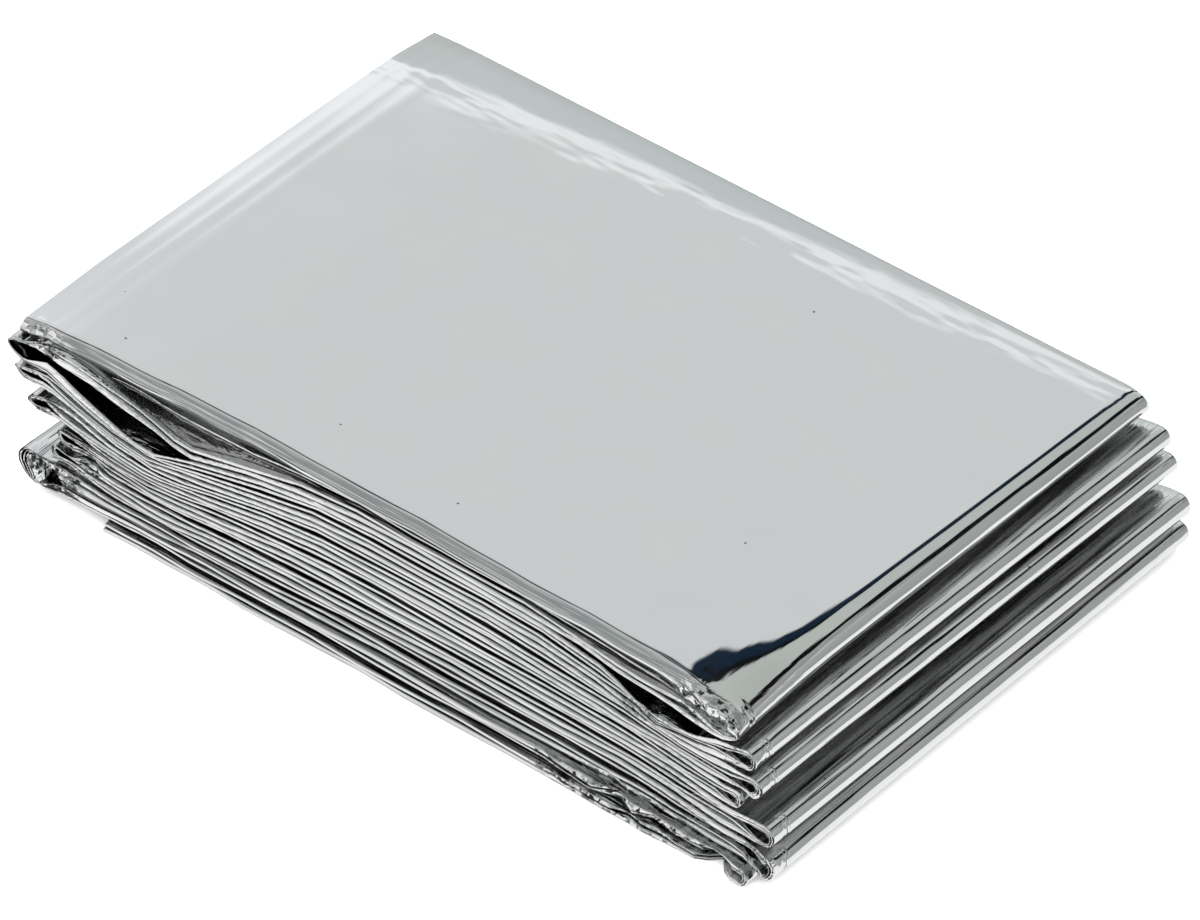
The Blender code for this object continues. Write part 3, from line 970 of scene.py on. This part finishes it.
# Where the camera stands as seen from what it looks at, and what that is: a place this far to the
# right of TARGET_OFFSET and this far above it in the picture.
CAMERA_AZIMUTH = math.radians(40.125)
CAMERA_ELEVATION = math.radians(39.902)
CAMERA_DISTANCE = 1364.9
CAMERA_LENS = 304.5
SENSOR_WIDTH = 36.0
TARGET_RIGHT, TARGET_UP = 0.953, -3.768
TARGET_OFFSET = (-1.0, 0.6, 13.0)
# In metres.
CLIP_START = 0.05


def make_camera():
    back = Vector(
        (
            math.sin(CAMERA_AZIMUTH) * math.cos(CAMERA_ELEVATION),
            -math.cos(CAMERA_AZIMUTH) * math.cos(CAMERA_ELEVATION),
            math.sin(CAMERA_ELEVATION),
        )
    )
    right = Vector((math.cos(CAMERA_AZIMUTH), math.sin(CAMERA_AZIMUTH), 0.0))
    up = back.cross(right)
    target = Vector(TARGET_OFFSET) + right * TARGET_RIGHT + up * TARGET_UP
    data = bpy.data.cameras.new("camera")
    data.lens = CAMERA_LENS
    data.sensor_width = SENSOR_WIDTH
    data.clip_start = CLIP_START
    camera = bpy.data.objects.new("camera", data)
    camera.location = (target + back * CAMERA_DISTANCE) * MM
    camera.rotation_euler = back.to_track_quat("Z", "Y").to_euler()
    bpy.context.scene.collection.objects.link(camera)
    bpy.context.scene.camera = camera


# ---- the light and the floor

# How bright the studio is all round, for everything but the film's reflections.
SOFT_LIGHT = 2.4
# How much light is left after each bounce from film to film.
BOUNCE_LEFT = 0.36
# The studio's darkest flags, its silver wall and its pale green ceiling.
NAVY, BLACK = (0.007, 0.018, 0.036), (0.004, 0.004, 0.004)
SILVER, GREEN = (0.66, 0.675, 0.68), (0.50, 0.53, 0.505)
# Bands across the studio. The angle is measured from straight up, in degrees, towards +X.
ACROSS_BANDS = [
    (-100, gray(0.8)),
    (-76, gray(0.8)),
    (-62, gray(0.74)),
    (-50, (0.74, 0.76, 0.78)),
    (-41, (0.67, 0.68, 0.685)),
    (-29, SILVER),
    (-28.4, NAVY),
    (-23.8, NAVY),
    (-23, BLACK),
    (-20.4, BLACK),
    (-20, GREEN),
    (20.5, GREEN),
    (21.5, BLACK),
    (37.5, BLACK),
    (38.5, gray(0.37)),
    (46, gray(0.34)),
    (52, gray(0.29)),
    (61, gray(0.45)),
    (80, gray(0.55)),
    (105, gray(0.57)),
    (109, gray(1.5)),
]
# The same bands seen in front, where there are no dark flags: up to this angle towards +Y.
FRONT_ANGLE = 21.0
FRONT_BANDS = [(-100, gray(0.85)), (-60, gray(0.9)), (-41, gray(0.7)), (-29, SILVER), (0, GREEN)]
# Bands along the studio, by which those are multiplied. Their angle is measured towards +Y.
ALONG_BANDS = [
    (-90, gray(0.9)),
    (-60, gray(1.1)),
    (-37, gray(0.95)),
    (-31, (0.42, 0.45, 0.44)),
    (-14, (0.44, 0.47, 0.46)),
    (-6, gray(0.7)),
    (9, gray(0.85)),
    (11, gray(0.04)),
    (18, gray(0.04)),
    (20, gray(0.9)),
    (30, gray(1.0)),
    (45, gray(1.0)),
    (48, gray(1.32)),
    (51, gray(1.28)),
    (55, (0.80, 0.84, 0.82)),
    (80, (0.62, 0.66, 0.64)),
]
# What lies below the horizon, by the direction's part along Y: the bright floor in front, the
# packet's own dark side, and the floor behind it.
BELOW_BANDS = [
    (-0.93, 0.35),
    (-0.86, 0.6),
    (-0.80, 0.9),
    (-0.72, 1.05),
    (-0.24, 1.0),
    (-0.17, 0.15),
    (0.07, 0.03),
    (0.25, 0.95),
]
# On the side where X is below this it stays as dark as at DARK_Y, all the way back.
DARK_SIDE_X, DARK_Y = -0.36, 0.07
# In front the bright floor is only a board: its middle, half its width, how softly it ends, how
# bright it is beside it, and where along Y the board ends.
BOARD_X, BOARD_HALF, BOARD_SOFTNESS = -0.49, 0.30, 0.14
BESIDE_BOARD, BOARD_END_Y = 0.03, -0.2
# The walls reach lower down towards the back, by this much for each unit along Y.
HORIZON_SLANT = 0.44
# Half the floor's width and its height, in metres, and its look.
FLOOR_HALF, FLOOR_Z = 1.5, -0.00005
FLOOR_COLOUR, FLOOR_ROUGHNESS = (0.95, 0.95, 0.95, 1.0), 0.9


def angle_node(tree, part, z):
    """The angle from straight up towards this part, as a share of the way from -180 to 180."""
    angle = math_node(tree, "ARCTAN2", part, z)
    return math_node(tree, "MULTIPLY_ADD", angle, 1.0 / (2 * math.pi), 0.5)


def angle_stops(bands):
    """Ramp stops from (angle in degrees, colour), for a ramp that runs from -180 to 180."""
    return [((angle + 180) / 360, colour) for angle, colour in bands]


def above_horizon(tree, sideways, lengthways):
    """The studio's walls and ceiling in bands."""
    across = ramp_node(tree, sideways, angle_stops(ACROSS_BANDS))
    in_front = ramp_node(tree, sideways, angle_stops(FRONT_BANDS))
    facing_front = math_node(tree, "LESS_THAN", lengthways, (180 + FRONT_ANGLE) / 360)
    across = mix_node(tree, "MIX", facing_front, across, in_front)
    along = ramp_node(tree, lengthways, angle_stops(ALONG_BANDS))
    return mix_node(tree, "MULTIPLY", 1.0, across, along)


def below_horizon(tree, x, y):
    """The bright board in front, and the floor behind."""
    bright_side = math_node(tree, "GREATER_THAN", x, DARK_SIDE_X)
    furthest = math_node(tree, "ADD", bright_side, DARK_Y)
    place = math_node(tree, "MINIMUM", y, furthest)
    stops = [((1 + along) / 2, value) for along, value in BELOW_BANDS]
    share = math_node(tree, "MULTIPLY_ADD", place, 0.5, 0.5)
    below = ramp_node(tree, share, gray_stops(stops))
    aside = math_node(tree, "ABSOLUTE", math_node(tree, "ADD", x, -BOARD_X))
    edge = BOARD_HALF / BOARD_SOFTNESS
    past_board = math_node(tree, "MULTIPLY_ADD", aside, 1.0 / BOARD_SOFTNESS, -edge)
    in_front = math_node(tree, "LESS_THAN", y, BOARD_END_Y)
    beside = math_node(tree, "MULTIPLY", past_board, in_front)
    return mix_node(tree, "MIX", beside, below, gray(BESIDE_BOARD))


def for_each_ray(tree, studio):
    """The banded studio for rays that the film mirrors, dimmer at each bounce, and an even soft
    light for all the others."""
    rays = tree.nodes.new("ShaderNodeLightPath")
    bounces = math_node(tree, "SUBTRACT", rays.outputs["Glossy Depth"], 1.0)
    left = math_node(tree, "POWER", BOUNCE_LEFT, bounces)
    dimmed = mix_node(tree, "MIX", left, gray(0.0), studio)
    return mix_node(tree, "MIX", rays.outputs["Is Glossy Ray"], gray(SOFT_LIGHT), dimmed)


def make_world():
    world = bpy.data.worlds.new("studio")
    bpy.context.scene.world = world
    world.use_nodes = True
    tree = world.node_tree
    tree.nodes.clear()
    direction = tree.nodes.new("ShaderNodeTexCoord").outputs["Generated"]
    x, y, z = separated(tree, direction)
    above = above_horizon(tree, angle_node(tree, x, z), angle_node(tree, y, z))
    below = below_horizon(tree, x, y)
    horizon = math_node(tree, "MULTIPLY", math_node(tree, "MAXIMUM", y, 0.0), -HORIZON_SLANT)
    studio = mix_node(tree, "MIX", math_node(tree, "LESS_THAN", z, horizon), above, below)
    background = tree.nodes.new("ShaderNodeBackground")
    tree.links.new(for_each_ray(tree, studio), background.inputs["Color"])
    output = tree.nodes.new("ShaderNodeOutputWorld")
    tree.links.new(background.outputs[0], output.inputs["Surface"])


def make_floor():
    """A pale floor just below the packet, which the film's reflections don't show."""
    mesh = bpy.data.meshes.new("floor")
    corners = [(-1, -1), (1, -1), (1, 1), (-1, 1)]
    points = [(x * FLOOR_HALF, y * FLOOR_HALF, 0.0) for x, y in corners]
    mesh.from_pydata(points, [], [(0, 1, 2, 3)])
    floor = bpy.data.objects.new("floor", mesh)
    floor.location.z = FLOOR_Z
    bpy.context.scene.collection.objects.link(floor)
    material = bpy.data.materials.new("pale_floor")
    material.use_nodes = True
    shader = material.node_tree.nodes["Principled BSDF"]
    shader.inputs["Base Color"].default_value = FLOOR_COLOUR
    shader.inputs["Roughness"].default_value = FLOOR_ROUGHNESS
    mesh.materials.append(material)
    floor.visible_glossy = False


# ---- the scene

bpy.context.scene.view_settings.view_transform = "Standard"
make_camera()
make_world()
make_floor()
film = make_film(film_material())
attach(film, "root")
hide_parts("blanket")
